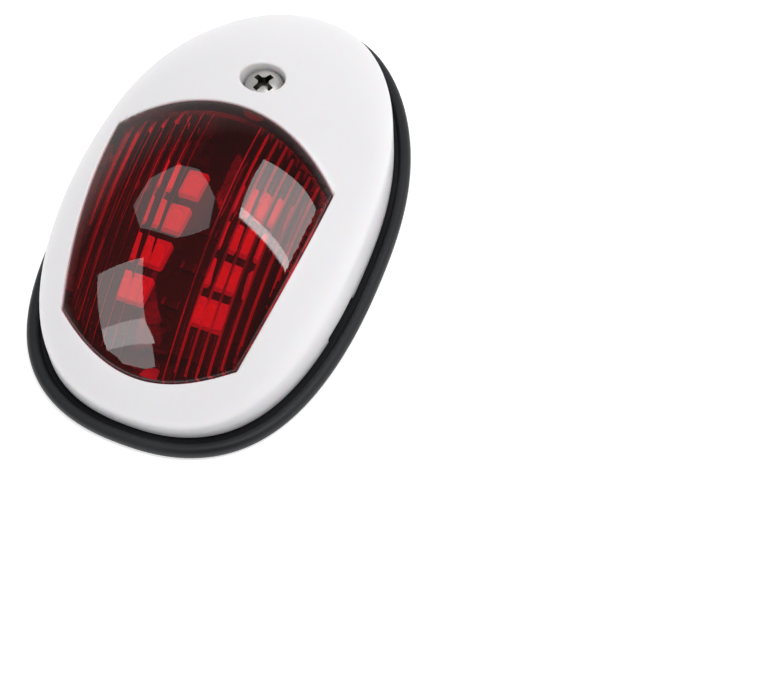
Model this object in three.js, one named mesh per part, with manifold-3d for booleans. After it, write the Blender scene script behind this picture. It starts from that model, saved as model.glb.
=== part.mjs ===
// Port-side navigation light: egg-shaped white cover with a red lens, black gasket, LED board inside.
// Millimetres. The back face of the gasket lies on z = 0, +Z points out of the mounting surface,
// +Y runs along the long axis towards the cover screw.
import * as THREE from 'three';
import { mergeVertices } from 'three/addons/utils/BufferGeometryUtils.js';
import Module from 'manifold-3d';

const wasm = await Module();
wasm.setup();

// ---- driving dimensions -------------------------------------------------
const HALF_LENGTH = 43;            // gasket outline, half of the long axis
const HALF_WIDTH = 26.86;          // gasket outline, half width half way along
const OUTLINE_POWER = 2.2935;      // 2 would be an ellipse
const EGG = [0.0726, -0.0108, 0.1194];  // narrowing towards the screw end, per power of y
const COVER_INSET = 2.9;           // cover rim inside the gasket outline
const RIM_Z = 1.3;                 // bottom edge of the cover
const FOOT_Z = 0.52;               // height the dome formula starts from
const WALL_HEIGHT = 8.0;           // near-vertical part of the cover wall, half way along
const DOME_HEIGHT = 15.53;         // rise of the dome above that wall
const DOME_POWER = 1.744;
const DOME_ROUND = 2.93;
const DOME_TILT = [0.0824, -0.5326, 0.0032];  // how the height falls away along y
const WALL_INSET = 1.7;            // cover side wall thickness
const WALL_DROP = 2.0;             // cover top thickness
const WINDOW = { half: 18.66, lean: 0.0092, bow: -0.0039, top: 8.66, topArc: 0.0221,
  bottom: 35.25, bottomArc: 0.0257 };
const LENS_GAP = 0.25;             // lens edge to window edge
const FLANGE = 2.2;                // lens flange hidden behind the window edge
const FLUTE_PITCH = 1.65;
const FLUTES = 8;                  // on each side of the clear centre strip
const FLUTE_START = 3.8;
const FLUTE_DEPTH = 0.55;
const SCREW_Y = 16.2;
const RECESS_R = 3.6;
const RECESS_FLOOR = 17.0;
const COVER_BOSS_R = 4.7;
const COVER_BOSS_Z = 14.2;
const HEAD_R = 3.2;
const HEAD_Z = 18.2;               // underside of the screw head
const SHANK_R = 1.75;
const THREAD_R = 1.45;
const THREAD_PITCH = 1.0;
const SCREW_TIP = 6.6;
const BASE_INSET = [5.3, 6.6];     // base plate inside the gasket outline, in x and y
const BASE_Z = [1.3, 3.0];
const LIP_Z = 4.4;
const BOSS_R = 4.4;
const BOSS_Z = 13.9;
const INSERT = { inner: 2.05, outer: 2.6, low: 7.4, high: 13.6 };
const BOARD = { half: 12, top: 7.8, bottom: -28.6, low: 6.4, high: 8.0, corner: 2.5 };
const BOARD_SCREWS = [4.8, -25.6];
const LED_X = 6.5;
const LED_PITCH = 6.95;
const LED_ROW = -0.1;              // y of the first row
const LED_ROWS = 4;
const LED_SIZE = 5.0;
const LED_TALL = 1.6;
const MOUNT_HOLES = [28.5, -31.0]; // y of the two fixing holes
const MOUNT_HOLE_R = 2.2;
const GROMMET = { x: -11, y: 13.5, bore: 2.2 };

const group = new THREE.Group();
group.name = 'navigation_light';

// ---- helpers --------------------------------------------------------------
const toSolid = (geometry) => {
  const g = geometry.clone();
  g.deleteAttribute('normal');
  g.deleteAttribute('uv');
  const m = mergeVertices(g, 1e-5);
  const tri = m.index ? m.index.array : [...Array(m.attributes.position.count).keys()];
  return new wasm.Manifold(new wasm.Mesh({
    numProp: 3,
    vertProperties: new Float32Array(m.attributes.position.array),
    triVerts: new Uint32Array(tri),
  }));
};

const toGeometry = (solid) => {
  const mesh = solid.getMesh();
  const g = new THREE.BufferGeometry();
  const stride = mesh.numProp;
  const count = mesh.vertProperties.length / stride;
  const position = new Float32Array(count * 3);
  for (let i = 0; i < count; i += 1) {
    for (let j = 0; j < 3; j += 1) position[3 * i + j] = mesh.vertProperties[stride * i + j];
  }
  g.setAttribute('position', new THREE.BufferAttribute(position, 3));
  g.setIndex(new THREE.BufferAttribute(new Uint32Array(mesh.triVerts), 1));
  return g;
};

const add = (name, solid, color, roughness, metalness = 0) => {
  const flat = toGeometry(solid).toNonIndexed();
  flat.computeVertexNormals();
  const mesh = new THREE.Mesh(flat, new THREE.MeshStandardMaterial({ color, roughness, metalness }));
  mesh.name = name;
  group.add(mesh);
  return mesh;
};

// Closed solid through stacked rings of equal length, capped flat at both ends.
const loft = (rings) => {
  const n = rings[0].length;
  const position = [];
  const index = [];
  for (const ring of rings) for (const p of ring) position.push(...p);
  for (let r = 0; r + 1 < rings.length; r += 1) {
    for (let i = 0; i < n; i += 1) {
      const j = (i + 1) % n;
      const a = r * n + i;
      const b = r * n + j;
      index.push(a, b, b + n, a, b + n, a + n);
    }
  }
  const cap = (ring, start, flip) => {
    const centre = position.length / 3;
    const mean = [0, 1, 2].map((k) => ring.reduce((s, p) => s + p[k], 0) / n);
    position.push(...mean);
    for (let i = 0; i < n; i += 1) {
      const j = (i + 1) % n;
      if (flip) index.push(centre, start + j, start + i);
      else index.push(centre, start + i, start + j);
    }
  };
  cap(rings[0], 0, true);
  cap(rings[rings.length - 1], (rings.length - 1) * n, false);
  const g = new THREE.BufferGeometry();
  g.setAttribute('position', new THREE.BufferAttribute(new Float32Array(position), 3));
  g.setIndex(index);
  return toSolid(g);
};

// Solid of revolution about a vertical axis; profile is [radius, z], from axis to axis.
const turned = (profile, x = 0, y = 0, segments = 32) => {
  const ordered = profile[0][1] > profile[profile.length - 1][1] ? [...profile].reverse() : profile;
  const g = new THREE.LatheGeometry(ordered.map(([r, z]) => new THREE.Vector2(r, z)), segments);
  g.rotateX(Math.PI / 2);
  g.translate(x, y, 0);
  return toSolid(g);
};
const post = (r, low, high, x = 0, y = 0, segments = 32) =>
  turned([[0, low], [r, low], [r, high], [0, high]], x, y, segments);

const block = (wx, wy, low, high, x = 0, y = 0, angle = 0) => {
  const g = new THREE.BoxGeometry(wx, wy, high - low);
  g.rotateZ(angle);
  g.translate(x, y, (low + high) / 2);
  return toSolid(g);
};

// Vertical prism over a list of [x, y] points running anticlockwise.
const prism = (points, low, high) => {
  const shape = new THREE.Shape(points.map(([x, y]) => new THREE.Vector2(x, y)));
  const g = new THREE.ExtrudeGeometry(shape, { depth: high - low, bevelEnabled: false });
  g.translate(0, 0, low);
  return toSolid(g);
};

const roundedRect = (x0, y0, x1, y1, r, steps = 5) => {
  const out = [];
  const corners = [[x1 - r, y0 + r, -90], [x1 - r, y1 - r, 0], [x0 + r, y1 - r, 90], [x0 + r, y0 + r, 180]];
  for (const [cx, cy, start] of corners) {
    for (let i = 0; i <= steps; i += 1) {
      const a = THREE.MathUtils.degToRad(start + (90 * i) / steps);
      out.push([cx + r * Math.cos(a), cy + r * Math.sin(a)]);
    }
  }
  return out;
};

// ---- the egg outline and the dome ------------------------------------------
const egg = (v) => 1 - EGG[0] * v - EGG[1] * v * v - EGG[2] * v ** 3;
const signedPower = (value, power) => Math.sign(value) * Math.abs(value) ** power;

const outline = (insetX, insetY = insetX, segments = 56) => {
  const points = [];
  for (let i = 0; i < segments; i += 1) {
    const a = (2 * Math.PI * i) / segments;
    const v = signedPower(Math.sin(a), 2 / OUTLINE_POWER);
    const u = signedPower(Math.cos(a), 2 / OUTLINE_POWER) * egg(v);
    points.push([u * (HALF_WIDTH - insetX), v * (HALF_LENGTH - insetY)]);
  }
  return points;
};
const ringAt = (points, z, scale = 1) => points.map(([x, y]) => [x * scale, y * scale, z]);

const tilt = (v) => 1 + DOME_TILT[0] * v + DOME_TILT[1] * v * v + DOME_TILT[2] * v ** 3;
const domeShape = (rho) => Math.max(0, 1 - rho ** DOME_POWER) ** (1 / DOME_ROUND);
const domeAt = (rho, y, inset, drop) =>
  FOOT_Z + (WALL_HEIGHT + DOME_HEIGHT * domeShape(rho)) * tilt(y / (HALF_LENGTH - COVER_INSET - inset))
  - drop;
const domeHeight = (x, y, inset, drop) => {
  const v = THREE.MathUtils.clamp(y / (HALF_LENGTH - COVER_INSET - inset), -1, 1);
  const u = Math.abs(x) / ((HALF_WIDTH - COVER_INSET - inset) * egg(v));
  const rho = Math.min(1, (u ** OUTLINE_POWER + Math.abs(v) ** OUTLINE_POWER) ** (1 / OUTLINE_POWER));
  return domeAt(rho, y, inset, drop);
};

const DOME_RINGS = [1, 0.998, 0.988, 0.967, 0.93, 0.88, 0.81, 0.72, 0.6, 0.46, 0.3, 0.12];
const dome = (inset, drop, low, segments) => {
  const edge = outline(COVER_INSET + inset, COVER_INSET + inset, segments);
  const rings = [ringAt(edge, low)];
  for (const rho of DOME_RINGS) {
    rings.push(edge.map(([x, y]) => [x * rho, y * rho, domeAt(rho, y * rho, inset, drop)]));
  }
  return loft(rings);
};

// Window outline in plan, grown by the given amount.
const windowPoints = (grow) => {
  const w = WINDOW;
  const side = (y) => w.half + w.lean * y + w.bow * y * y + grow;
  const top = (x) => w.top - w.topArc * x * x + grow;
  const bottom = (x) => -w.bottom + w.bottomArc * x * x - grow;
  const corner = (edge, start) => {
    let y = start;
    for (let i = 0; i < 40; i += 1) y = edge(side(y));
    return [side(y), y];
  };
  const [xt, yt] = corner(top, w.top);
  const [xb, yb] = corner(bottom, -w.bottom);
  const points = [];
  const arc = 14;
  const straight = 7;
  for (let i = 0; i < arc; i += 1) {
    const x = -xb + (2 * xb * i) / arc;
    points.push([x, bottom(x)]);
  }
  for (let i = 0; i < straight; i += 1) {
    const y = yb + ((yt - yb) * i) / straight;
    points.push([side(y), y]);
  }
  for (let i = 0; i < arc; i += 1) {
    const x = xt - (2 * xt * i) / arc;
    points.push([x, top(x)]);
  }
  for (let i = 0; i < straight; i += 1) {
    const y = yt + ((yb - yt) * i) / straight;
    points.push([-side(y), y]);
  }
  return points;
};

// ---- cover ------------------------------------------------------------------
const outer = dome(0, 0, RIM_Z, 56);
const inner = dome(WALL_INSET, WALL_DROP, RIM_Z - 1, 48);
const coverBoss = post(COVER_BOSS_R, COVER_BOSS_Z, 30, 0, SCREW_Y).intersect(outer);
const tongue = block(7, 1.6, RIM_Z, 4.2, 0, -(HALF_LENGTH - COVER_INSET - WALL_INSET - 0.2));
const pryNotch = block(3, 9, 0, 2.5, 24.4, -10.3);
add('cover_shell', outer.subtract(inner)
  .add(coverBoss)
  .add(tongue.intersect(outer))
  .subtract(prism(windowPoints(0), -5, 60))
  .subtract(post(RECESS_R, RECESS_FLOOR, 40, 0, SCREW_Y, 36))
  .subtract(post(2.05, 5, 40, 0, SCREW_Y, 24))
  .subtract(pryNotch), 0xf1f1ef, 0.22);

// ---- lens -------------------------------------------------------------------
// Inner face of the lens as a height field with ribs running along y on both sides.
const fluteDrop = (x) => {
  const s = (Math.abs(x) - FLUTE_START) / FLUTE_PITCH;
  if (s <= 0 || s >= FLUTES) return 0;
  return FLUTE_DEPTH * (1 - Math.abs(2 * (s - Math.floor(s)) - 1));
};
const lensCutter = () => {
  const xs = [];
  for (let i = 0; i <= 2 * FLUTES; i += 1) xs.push(FLUTE_START + (i * FLUTE_PITCH) / 2);
  const half = [1.9, ...xs, 18.4, 21];
  const columns = [...half.map((x) => -x).reverse(), 0, ...half];
  const rows = [];
  for (let i = 0; i <= 12; i += 1) rows.push(-38 + (49 * i) / 12);
  const position = [];
  const index = [];
  const w = columns.length;
  const layer = w * rows.length;
  for (const level of [0, 1]) {
    for (const y of rows) {
      for (const x of columns) {
        position.push(x, y, level ? -6 : domeHeight(x, y, 2.2, 2.5) - fluteDrop(x));
      }
    }
  }
  for (let j = 0; j + 1 < rows.length; j += 1) {
    for (let i = 0; i + 1 < w; i += 1) {
      const a = j * w + i;
      index.push(a, a + 1, a + w + 1, a, a + w + 1, a + w);
      const b = a + layer;
      index.push(b, b + w + 1, b + 1, b, b + w, b + w + 1);
    }
  }
  const wall = (a, b) => index.push(b, a, a + layer, b, a + layer, b + layer);
  const last = (rows.length - 1) * w;
  for (let i = 0; i + 1 < w; i += 1) { wall(i, i + 1); wall(last + i + 1, last + i); }
  for (let j = 0; j + 1 < rows.length; j += 1) { wall((j + 1) * w, j * w); wall(j * w + w - 1, (j + 1) * w + w - 1); }
  const g = new THREE.BufferGeometry();
  g.setAttribute('position', new THREE.BufferAttribute(new Float32Array(position), 3));
  g.setIndex(index);
  return toSolid(g);
};
const shell = outer.intersect(prism(windowPoints(-LENS_GAP), -5, 60)).subtract(lensCutter());
const flange = dome(WALL_INSET + 0.3, WALL_DROP + 0.3, RIM_Z - 3, 48)
  .intersect(prism(windowPoints(FLANGE), -5, 60))
  .subtract(prism(windowPoints(-1.6), -5, 60))
  .subtract(dome(3.2, 3.7, RIM_Z - 6, 48))
  .intersect(block(80, 100, 6.2, 60));
add('lens', shell.add(flange), 0xb00818, 0.08);

// ---- gasket -------------------------------------------------------------------
const BEAD = [[0.35, 0], [0.04, 0.45], [0.04, 1.2], [0.45, 1.85], [1.05, 2.08], [1.7, 1.8],
  [2.1, 1.0]];
let gasket = loft(BEAD.map(([inset, z]) => ringAt(outline(inset), z)));
for (const y of MOUNT_HOLES) gasket = gasket.subtract(post(MOUNT_HOLE_R + 0.3, -1, 4, 0, y, 24));
gasket = gasket.subtract(post(6.2, -1, 4, GROMMET.x, GROMMET.y, 28));
add('gasket', gasket, 0x1c1d1f, 0.7);

// ---- base plate ----------------------------------------------------------------
const [bx, by] = BASE_INSET;
let base = loft([ringAt(outline(bx, by), BASE_Z[0]), ringAt(outline(bx, by), BASE_Z[1])]);
const lip = loft([ringAt(outline(bx + 1.6, by + 1.6), BASE_Z[1] - 0.4), ringAt(outline(bx + 1.6, by + 1.6), LIP_Z)])
  .subtract(loft([ringAt(outline(bx + 2.8, by + 2.8), 1), ringAt(outline(bx + 2.8, by + 2.8), 6)]));
base = base.add(lip)
  .add(post(BOSS_R, BASE_Z[0] + 0.5, BOSS_Z, 0, SCREW_Y));
for (const a of [90, 270]) {
  const t = THREE.MathUtils.degToRad(a);
  base = base.add(block(Math.abs(Math.cos(t)) * 3.4 + 1.2, Math.abs(Math.sin(t)) * 3.4 + 1.2, BASE_Z[0] + 0.5, 8.5,
    Math.cos(t) * 5.4, SCREW_Y + Math.sin(t) * 5.4));
}
for (const y of BOARD_SCREWS) base = base.add(post(3.1, BASE_Z[0] + 0.5, BOARD.low - 0.3, 0, y, 24));
for (const y of MOUNT_HOLES) base = base.add(post(4.2, BASE_Z[0] + 0.5, 4.4, 0, y, 24));
base = base
  .subtract(post(INSERT.outer + 0.3, INSERT.low - 0.3, 20, 0, SCREW_Y))
  .subtract(post(2.1, SCREW_TIP - 0.8, 20, 0, SCREW_Y, 24));
for (const y of BOARD_SCREWS) base = base.subtract(post(1.35, 2.4, 20, 0, y, 20));
for (const y of MOUNT_HOLES) base = base.subtract(post(MOUNT_HOLE_R, -1, 20, 0, y, 24));
base = base.subtract(post(4.3, -1, 20, GROMMET.x, GROMMET.y, 28))
  .subtract(block(7.8, 3.2, -1, 12, 0, -(HALF_LENGTH - by) + 0.4));
add('base_plate', base, 0x1c1c1e, 0.45);

// ---- ring that seals the cover against the base ----------------------------------
const seal = loft([ringAt(outline(bx + 0.15, by + 0.15), BASE_Z[1] + 0.3),
  ringAt(outline(bx + 0.05, by + 0.05), BASE_Z[1] + 0.7), ringAt(outline(bx + 0.15, by + 0.15), BASE_Z[1] + 1.1)])
  .subtract(loft([ringAt(outline(bx + 1.25, by + 1.25), 1), ringAt(outline(bx + 1.25, by + 1.25), 9)]));
add('cover_seal', seal.subtract(block(8.6, 5, 0, 12, 0, -(HALF_LENGTH - by) + 0.4))
  , 0x2b2c2e, 0.75);

// ---- screw, its seal and the brass insert it goes into -----------------------------
const screwProfile = [[0, SCREW_TIP], [1.1, SCREW_TIP + 0.5]];
for (let z = SCREW_TIP + 0.9; z + THREAD_PITCH < HEAD_Z - 1.6; z += THREAD_PITCH) {
  screwProfile.push([THREAD_R, z], [SHANK_R, z + THREAD_PITCH / 2]);
}
screwProfile.push([THREAD_R, HEAD_Z - 1.6], [1.6, HEAD_Z - 1.3], [1.6, HEAD_Z], [HEAD_R, HEAD_Z],
  [HEAD_R, HEAD_Z + 0.55], [2.95, HEAD_Z + 1.15], [2.3, HEAD_Z + 1.62], [1.3, HEAD_Z + 1.88], [0, HEAD_Z + 1.95]);
let screw = turned(screwProfile, 0, SCREW_Y, 18);
for (const a of [64, 154]) {
  screw = screw.subtract(block(3.5, 0.8, HEAD_Z + 0.75, 24, 0, SCREW_Y, THREE.MathUtils.degToRad(a)));
}
screw = screw.subtract(turned([[0, HEAD_Z + 0.1], [0.9, HEAD_Z + 0.75], [1.0, 24], [0, 24]], 0, SCREW_Y, 8));
add('cover_screw', screw, 0xb9bab7, 0.28, 1);
add('screw_seal', post(3.05, RECESS_FLOOR + 0.3, HEAD_Z - 0.3, 0, SCREW_Y, 28)
  .subtract(post(2.05, 5, 30, 0, SCREW_Y, 28)), 0x242527, 0.75);
add('boss_insert', post(INSERT.outer, INSERT.low, INSERT.high, 0, SCREW_Y, 24)
  .subtract(post(INSERT.inner, 3, 30, 0, SCREW_Y, 24)), 0xb08d3c, 0.35, 1);

// ---- circuit board and what sits on it -----------------------------------------------
let board = prism(roundedRect(-BOARD.half, BOARD.bottom, BOARD.half, BOARD.top, BOARD.corner), BOARD.low, BOARD.high);
for (const y of BOARD_SCREWS) board = board.subtract(post(1.4, 0, 20, 0, y, 20));
add('circuit_board', board, 0x12241c, 0.45);

BOARD_SCREWS.forEach((y, i) => {
  let s = turned([[0, 3.6], [0.95, 4.2], [0.95, BOARD.high + 0.3], [2.3, BOARD.high + 0.3], [2.3, BOARD.high + 0.8],
    [1.7, BOARD.high + 1.45], [0, BOARD.high + 1.7]], 0, y, 20);
  for (const a of [20, 110]) s = s.subtract(block(2.4, 0.55, BOARD.high + 0.95, 12, 0, y, THREE.MathUtils.degToRad(a)));
  add(`board_screw_${i + 1}`, s, 0x3a3a39, 0.4, 1);
});

const chipZ = BOARD.high + 0.3;
let count = 0;
for (const side of [-1, 1]) {
  for (let row = 0; row < LED_ROWS; row += 1) {
    const x = side * LED_X;
    const y = LED_ROW - row * LED_PITCH;
    let led = block(LED_SIZE, LED_SIZE, chipZ, chipZ + LED_TALL, x, y);
    for (const k of [-1, 0, 1]) led = led.add(block(LED_SIZE + 0.5, 0.8, chipZ, chipZ + 0.35, x, y + 1.6 * k));
    led = led.subtract(turned([[0, chipZ + 0.9], [1.7, chipZ + 0.9], [2.1, 14], [0, 14]], x, y, 20));
    count += 1;
    add(`led_${count}`, led, 0xf2efe6, 0.4);
  }
}
for (let row = 0; row < LED_ROWS; row += 1) {
  const y = LED_ROW - row * LED_PITCH;
  add(`resistor_${row + 1}`, block(3.1, 1.5, chipZ, chipZ + 0.55, 0, y)
    .add(block(3.3, 1.5, chipZ, chipZ + 0.3, 0, y)), 0x161616, 0.5);
}
add('protection_diode', block(4.2, 2.5, chipZ, chipZ + 1.2, 8, 5)
  .add(block(3.6, 2.1, chipZ + 0.6, chipZ + 2.0, 8, 5))
  .add(block(5.2, 1.4, chipZ, chipZ + 0.3, 8, 5)), 0x161616, 0.5);
add('supply_terminal', block(5.6, 3.4, chipZ, chipZ + 3.2, -7.6, 5.2)
  .subtract(block(1.7, 2.2, chipZ + 0.9, chipZ + 9, -8.9, 5.2))
  .subtract(block(1.7, 2.2, chipZ + 0.9, chipZ + 9, -6.3, 5.2)), 0x1b1b1c, 0.55);

// ---- cable grommet ---------------------------------------------------------------------
add('cable_grommet', turned([[0, 0.15], [5.4, 0.15], [5.8, 0.4], [5.8, 1.0], [4.0, 1.0], [4.0, 3.3], [5.3, 3.3],
  [5.3, 3.9], [3.7, 5.6], [0, 5.6]], GROMMET.x, GROMMET.y, 28)
  .subtract(post(GROMMET.bore, -2, 9, GROMMET.x, GROMMET.y, 20)), 0x1f2022, 0.8);

export default group;
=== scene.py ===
import math

import bmesh
import bpy
import numpy as np
from mathutils import Matrix, Vector
from mathutils.geometry import delaunay_2d_cdt
from mathutils.kdtree import KDTree


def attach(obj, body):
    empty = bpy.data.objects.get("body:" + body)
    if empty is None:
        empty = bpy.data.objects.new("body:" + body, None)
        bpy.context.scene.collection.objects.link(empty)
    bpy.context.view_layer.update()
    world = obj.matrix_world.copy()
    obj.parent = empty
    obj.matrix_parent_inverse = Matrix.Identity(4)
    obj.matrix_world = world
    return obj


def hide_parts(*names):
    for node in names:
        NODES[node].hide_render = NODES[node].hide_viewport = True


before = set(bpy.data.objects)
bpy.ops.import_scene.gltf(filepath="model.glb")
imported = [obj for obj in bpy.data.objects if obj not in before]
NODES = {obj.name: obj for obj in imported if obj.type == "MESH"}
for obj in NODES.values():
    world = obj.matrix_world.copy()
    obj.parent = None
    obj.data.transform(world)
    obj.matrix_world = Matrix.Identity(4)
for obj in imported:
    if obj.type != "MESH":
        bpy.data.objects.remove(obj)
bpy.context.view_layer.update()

# ---- driving dimensions, millimetres ------------------------------------------
# Mostly those of the CAD source. The lens gap and the rib depth are smaller here, for looks.
HALF_LENGTH, HALF_WIDTH = 43.0, 26.86
OUTLINE_POWER = 2.2935
EGG = (0.0726, -0.0108, 0.1194)
COVER_INSET = 2.9
RIM_Z = 1.3
FOOT_Z, WALL_HEIGHT, DOME_HEIGHT = 0.52, 8.0, 15.53
DOME_POWER, DOME_ROUND = 1.744, 2.93
DOME_TILT = (0.0824, -0.5326, 0.0032)
WALL_INSET, WALL_DROP = 1.7, 2.0
WINDOW_HALF, WINDOW_LEAN, WINDOW_BOW = 18.66, 0.0092, -0.0039
WINDOW_TOP, WINDOW_TOP_ARC = 8.66, 0.0221
WINDOW_BOTTOM, WINDOW_BOTTOM_ARC = 35.25, 0.0257
WINDOW_FILLET = 0.45
LENS_GAP = 0.14
LENS_THICK = 2.5
FLANGE = 2.2
FLUTE_PITCH, FLUTES, FLUTE_START, FLUTE_DEPTH = 1.65, 8, 3.8, 0.2
CREST_LEFT, CREST_RIGHT = 0.04, 0.13     # half width of a painted highlight line between ribs, as a share of the pitch; narrower on the left, where less of it shows
SCREW_Y = 16.2
RECESS_R, RECESS_FLOOR, RECESS_FILLET = 3.6, 17.0, 0.6
BOSS_R, BOSS_Z, BOSS_HOLE_R = 4.7, 14.2, 2.05
HEAD_R, HEAD_Z = 3.2, 18.2
SCREW_TIP, THREAD_PITCH = 6.6, 1.0
LED_X, LED_PITCH, LED_ROW, LED_ROWS, LED_SIZE = 6.5, 6.95, -0.1, 4, 5.0
CHIP_Z, LED_TALL = 8.3, 1.6
MOUNT_HOLES, MOUNT_HOLE_R = (28.5, -31.0), 2.5
GROMMET_X, GROMMET_Y, GROMMET_HOLE_R = -11.0, 13.5, 6.2


# ---- mesh helpers -------------------------------------------------------------
def make(name, verts, faces, smooth_angle=35.0):
    """An object from vertices in millimetres, welded and smooth shaded up to the given angle."""
    mesh = bpy.data.meshes.new(name)
    mesh.from_pydata([tuple(v) for v in verts], [], [tuple(f) for f in faces])
    bm = bmesh.new()
    bm.from_mesh(mesh)
    bmesh.ops.remove_doubles(bm, verts=bm.verts, dist=1e-4)
    bmesh.ops.recalc_face_normals(bm, faces=bm.faces)
    if bm.calc_volume(signed=True) < 0:
        bmesh.ops.reverse_faces(bm, faces=bm.faces)
    bm.to_mesh(mesh)
    bm.free()
    mesh.transform(Matrix.Scale(0.001, 4))
    mesh.shade_smooth()
    mesh.set_sharp_from_angle(angle=math.radians(smooth_angle))
    obj = bpy.data.objects.new(name, mesh)
    bpy.context.scene.collection.objects.link(obj)
    return obj


class Mesh:
    """Collects vertices and faces from several patches."""

    def __init__(self):
        self.verts, self.faces = [], []

    def patch(self, verts, faces):
        start = len(self.verts)
        self.verts.extend(map(tuple, verts))
        self.faces.extend(tuple(start + i for i in f) for f in faces)

    def loft(self, rings, closed=True):
        """Quads between neighbouring rings of equal length."""
        n = len(rings[0])
        verts = [p for ring in rings for p in ring]
        faces = []
        for r in range(len(rings) - 1):
            for i in range(n if closed else n - 1):
                j = (i + 1) % n
                faces.append((r * n + i, r * n + j, (r + 1) * n + j, (r + 1) * n + i))
        self.patch(verts, faces)

    def cap(self, ring):
        centre = np.mean(np.array(ring), axis=0)
        n = len(ring)
        self.patch(list(ring) + [tuple(centre)], [(i, (i + 1) % n, n) for i in range(n)])

    def build(self, name, smooth_angle=35.0):
        return make(name, self.verts, self.faces, smooth_angle)


def inside(points, polygon):
    """Which points lie in a closed polygon."""
    x, y = points[:, 0], points[:, 1]
    hit = np.zeros(len(points), bool)
    a = np.asarray(polygon)
    b = np.roll(a, -1, axis=0)
    for (x0, y0), (x1, y1) in zip(a, b):
        if y0 == y1:
            continue
        crosses = (y0 > y) != (y1 > y)
        hit ^= crosses & (x < (x1 - x0) * (y - y0) / (y1 - y0) + x0)
    return hit


def distance(points, polygon):
    """Distance of each point to a closed polyline."""
    best = np.full(len(points), 1e9)
    a = np.asarray(polygon)
    b = np.roll(a, -1, axis=0)
    for p, q in zip(a, b):
        d = q - p
        t = np.clip(((points - p) @ d) / max(d @ d, 1e-12), 0, 1)
        best = np.minimum(best, np.hypot(*(points - p - t[:, None] * d).T))
    return best


def triangulate(outer, holes, extra, spacing, margin=0.5):
    """Triangles filling a region with holes: its boundary points, extra points and a hexagonal grid."""
    outer = np.asarray(outer)
    holes = [np.asarray(h) for h in holes]
    lo, hi = outer.min(0), outer.max(0)
    rows = np.arange(lo[1], hi[1], spacing * math.sqrt(3) / 2)
    grid = []
    for k, y in enumerate(rows):
        xs = np.arange(lo[0] + (k % 2) * spacing / 2, hi[0], spacing)
        grid.append(np.stack([xs, np.full(len(xs), y)], 1))
    grid = np.concatenate(grid)
    extra = np.asarray(extra) if len(extra) else np.zeros((0, 2))
    keep = inside(grid, outer) & (distance(grid, outer) > margin * spacing)
    for h in holes:
        keep &= ~inside(grid, h) & (distance(grid, h) > margin * spacing)
    grid = grid[keep]
    if len(extra):
        cell = 0.5 * spacing
        near = {(int(x // cell) + i, int(y // cell) + j)
                for x, y in extra for i in (-1, 0, 1) for j in (-1, 0, 1)}
        free = [(int(x // cell), int(y // cell)) not in near for x, y in grid]
        grid = grid[np.array(free, bool)]
    loops = [outer] + holes
    points = np.concatenate(loops + [extra, grid])
    edges, start = [], 0
    for loop in loops:
        n = len(loop)
        edges += [(start + i, start + (i + 1) % n) for i in range(n)]
        start += n
    made = delaunay_2d_cdt([Vector(p) for p in points], edges, [], 0, 1e-5)
    verts = np.array([tuple(v) for v in made[0]])
    tris = np.array([f for f in made[2] if len(f) == 3])
    middle = verts[tris].mean(axis=1)
    good = inside(middle, outer)
    for h in holes:
        good &= ~inside(middle, h)
    return verts, tris[good]


def snap(points, *rings):
    """Moves the nearest point onto each point of the rings, so that neighbouring patches share them."""
    tree = KDTree(len(points))
    for i, p in enumerate(points):
        tree.insert(p, i)
    tree.balance()
    for ring in rings:
        for p in ring:
            points[tree.find(p)[1]] = p
    return points


# ---- the egg outline and the dome -----------------------------------------------
def egg(v):
    return 1 - EGG[0] * v - EGG[1] * v * v - EGG[2] * v ** 3


def outline(inset_x, inset_y=None, count=200):
    inset_y = inset_x if inset_y is None else inset_y
    a = 2 * np.pi * np.arange(count) / count
    power = 2 / OUTLINE_POWER
    v = np.sign(np.sin(a)) * np.abs(np.sin(a)) ** power
    u = np.sign(np.cos(a)) * np.abs(np.cos(a)) ** power * egg(v)
    return np.stack([u * (HALF_WIDTH - inset_x), v * (HALF_LENGTH - inset_y)], 1)


def dome_shape(rho):
    return np.maximum(0, 1 - rho ** DOME_POWER) ** (1 / DOME_ROUND)


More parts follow.
